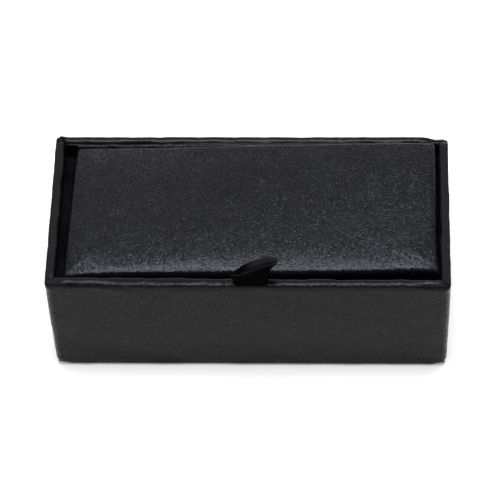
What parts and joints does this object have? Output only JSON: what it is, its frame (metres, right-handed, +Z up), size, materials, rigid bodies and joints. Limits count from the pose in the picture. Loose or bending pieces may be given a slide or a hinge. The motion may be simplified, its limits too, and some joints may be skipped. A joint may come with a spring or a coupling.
{
  "type": "cufflink display box",
  "caption": "Small rigid box with an inset padded lid on a rear hinge, a ribbon pull at the front and a slotted soft pad inside for a pair of cufflinks.",
  "frame": {"origin": "middle of the underside, on the surface that the box stands on", "axes": "+X along the long side, -Y towards the ribbon side, +Z up"},
  "size_m": [0.08, 0.0376, 0.0338],
  "materials": {
    "leatherette": "fine grained black leatherette, satin",
    "ribbon": "black ribbed ribbon",
    "velvet": "black velvet, matt",
    "foam": "dark soft foam",
    "board": "plain solid greyboard",
    "base_paper": "black embossed paper"
  },
  "bodies": {
    "tray": {"base_sheet": "base_paper", "bottom_board": "board", "front_wall_board": "board", "rear_wall_board": "board", "left_wall_board": "board", "right_wall_board": "board", "tray_wrap": "leatherette", "front_liner_board": "board", "rear_liner_board": "board", "left_liner_board": "board", "right_liner_board": "board", "liner_velvet": "velvet", "insert_bench": "board", "insert_foam": "foam", "insert_velvet": "velvet", "hinge_strip": "leatherette"},
    "lid": {"lid_board": "board", "lid_foam": "foam", "lid_cover": "leatherette", "lid_lining_board": "board", "lid_lining_foam": "foam", "lid_lining_velvet": "velvet", "hinge_strip_lid_leaf": "leatherette", "ribbon_tails": "ribbon"},
    "pull": {"ribbon_loop": "ribbon"}
  },
  "joints": [
    {"name": "lid_hinge", "type": "hinge", "parent": "tray", "child": "lid", "pos_m": [0, 0.01673, 0.02785], "axis": [-1, 0, 0], "range_deg": [0, 100]},
    {"name": "pull_flex", "type": "hinge", "parent": "lid", "child": "pull", "pos_m": [0, -0.01555, 0.0265], "axis": [-1, 0, 0], "range_deg": [0, 40], "stiffness_Nm_per_rad": 0.0001}
  ]
}
